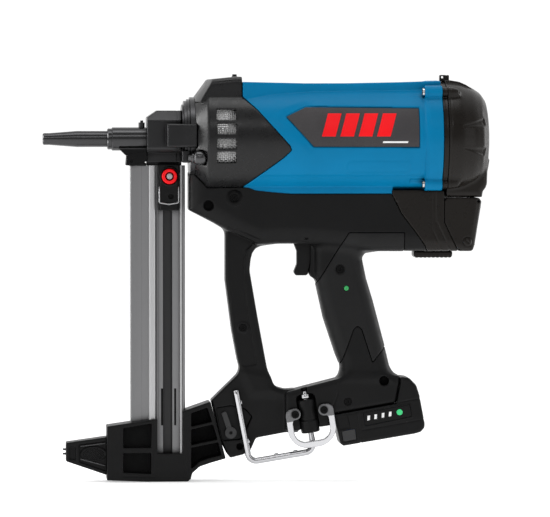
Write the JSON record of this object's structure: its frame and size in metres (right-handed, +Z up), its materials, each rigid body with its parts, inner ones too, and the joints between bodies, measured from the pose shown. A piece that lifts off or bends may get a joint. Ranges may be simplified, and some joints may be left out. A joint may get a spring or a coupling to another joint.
{
  "type": "gas nailer",
  "caption": "Cordless gas nailer for short pins: round barrel, D-shaped handle, straight magazine, clip-in battery, wire hook.",
  "frame": {"origin": "centre of the muzzle mouth, on the drive axis", "axes": "-X is the direction in which pins are driven, +X runs to the rear along the barrel, +Z up, the side with the battery gauge is -Y"},
  "size_m": [0.4287, 0.1124, 0.3905],
  "materials": {
    "black_plastic": "fine textured moulding",
    "grip_rubber": "soft matt overmould",
    "cap_plastic": "warm black, satin",
    "blue_plastic": "blue satin gloss",
    "plate_dark": "dark grey fine grain",
    "shell_grey": "dark grey satin paint",
    "nose_black": "black oxide, satin",
    "flange_grey": "dark anodised",
    "steel": "brushed",
    "chrome": "polished",
    "mesh_steel": "woven wire",
    "alu": "extruded, satin",
    "red_plastic": "red",
    "green_light": "green",
    "white_light": "pale windows",
    "screw_black": "black oxide",
    "gasket_rubber": "matt",
    "board_green": "solder mask",
    "motor_metal": "plated",
    "cell_wrap": "shrink wrap",
    "can_metal": "lacquered can",
    "brass": "machined",
    "ceramic": "glazed"
  },
  "bodies": {
    "root": {"barrel_housing": "blue_plastic", "bumper": "gasket_rubber", "control_board": "board_green", "cylinder_head": "alu", "cylinder_liner": "steel", "d_ring": "chrome", "dock_terminals": "brass", "driver_guide": "steel", "fan_motor": "motor_metal", "front_flange": "flange_grey", "front_shell": "shell_grey", "fuel_bay": "cap_plastic", "fuel_cell": "can_metal", "grip_pads": "grip_rubber", "handle_shell_left": "black_plastic", "handle_shell_right": "black_plastic", "hook_sleeve": "black_plastic", "metering_valve": "brass", "nose_block": "nose_black", "nose_holder": "nose_black", "nose_spring": "steel", "pivot_pins": "steel", "power_led": "green_light", "rear_cap": "cap_plastic", "rear_cap_screws": "chrome", "rear_gasket": "gasket_rubber", "shell_screws": "screw_black", "side_cap_nuts": "screw_black", "side_plates": "plate_dark", "spark_plug": "ceramic", "trigger_spring": "steel", "trigger_switch": "black_plastic", "vent_mesh": "mesh_steel"},
    "probe": {"probe_tube": "nose_black", "lift_linkage": "steel", "combustion_sleeve": "alu"},
    "piston": {"piston": "alu", "driver_blade": "steel"},
    "fan": {"fan": "steel"},
    "trigger": {"trigger": "black_plastic"},
    "fuel_door": {"fuel_door": "cap_plastic"},
    "door_latch": {"door_latch": "cap_plastic"},
    "battery": {"battery_case": "black_plastic", "gauge_panel": "black_plastic", "charge_lights": "white_light", "battery_cells": "cell_wrap"},
    "charge_button": {"charge_button": "green_light"},
    "battery_latch": {"battery_latch": "black_plastic"},
    "lock_lever": {"lock_lever": "black_plastic"},
    "hook": {"wire_hook": "chrome"},
    "magazine": {"magazine_rail": "alu", "rail_head": "black_plastic", "magazine_foot": "black_plastic", "support_foot": "black_plastic", "support_rods": "chrome"},
    "pusher": {"pusher": "black_plastic", "pusher_screw": "steel", "pusher_clip": "chrome", "pusher_spring": "steel"},
    "pusher_button": {"pusher_button": "red_plastic"}
  },
  "joints": [
    {"name": "nose_press", "type": "slide", "parent": "root", "child": "probe", "axis": [1, 0, 0], "range_m": [0, 0.018], "stiffness_N_per_m": 1200, "springref_m": -0.008, "deforming": ["nose_spring"]},
    {"name": "drive_stroke", "type": "slide", "parent": "root", "child": "piston", "axis": [-1, 0, 0], "range_m": [0, 0.118]},
    {"name": "fan_spin", "type": "hinge", "parent": "root", "child": "fan", "pos_m": [0.345, 0, 0], "axis": [1, 0, 0], "continuous": true},
    {"name": "trigger_pull", "type": "hinge", "parent": "root", "child": "trigger", "pos_m": [0.2515, 0, -0.0945], "axis": [0, -1, 0], "range_deg": [0, 10], "stiffness_Nm_per_rad": 0.5, "springref_deg": -11.46, "deforming": ["trigger_spring"]},
    {"name": "fuel_door_open", "type": "hinge", "parent": "root", "child": "fuel_door", "pos_m": [0.4168, 0, -0.0597], "axis": [0, -1, 0], "range_deg": [0, 85]},
    {"name": "door_latch_slide", "type": "slide", "parent": "root", "child": "door_latch", "axis": [-1, 0, 0], "range_m": [0, 0.002], "stiffness_N_per_m": 400, "springref_m": -0.002},
    {"name": "battery_slide", "type": "slide", "parent": "root", "child": "battery", "axis": [0.9854, 0, 0.1702], "range_m": [0, 0.075]},
    {"name": "charge_button_press", "type": "slide", "parent": "battery", "child": "charge_button", "axis": [0, 1, 0], "range_m": [0, 0.0008], "stiffness_N_per_m": 400, "springref_m": -0.001},
    {"name": "battery_latch_press", "type": "slide", "parent": "battery", "child": "battery_latch", "axis": [0, 1, 0], "range_m": [0, 0.001], "stiffness_N_per_m": 400, "springref_m": -0.001},
    {"name": "lock_lever_turn", "type": "hinge", "parent": "root", "child": "lock_lever", "pos_m": [0.1798, -0.01, -0.282], "axis": [0, 1, 0], "range_deg": [0, 60]},
    {"name": "hook_swivel", "type": "hinge", "parent": "root", "child": "hook", "pos_m": [0.2501, -0.014, -0.2415], "axis": [0.1581, 0, -0.9874], "range_deg": [-150, 0]},
    {"name": "magazine_swing", "type": "hinge", "parent": "root", "child": "magazine", "pos_m": [0.0846, 0, -0.0212], "axis": [0, 1, 0], "range_deg": [0, 12]},
    {"name": "pusher_slide", "type": "slide", "parent": "magazine", "child": "pusher", "axis": [0, 0, -1], "range_m": [0, 0.2], "stiffness_N_per_m": 8, "springref_m": -1},
    {"name": "pusher_button_press", "type": "slide", "parent": "pusher", "child": "pusher_button", "axis": [0, 1, 0], "range_m": [0, 0.0025], "stiffness_N_per_m": 400, "springref_m": -0.001}
  ]
}
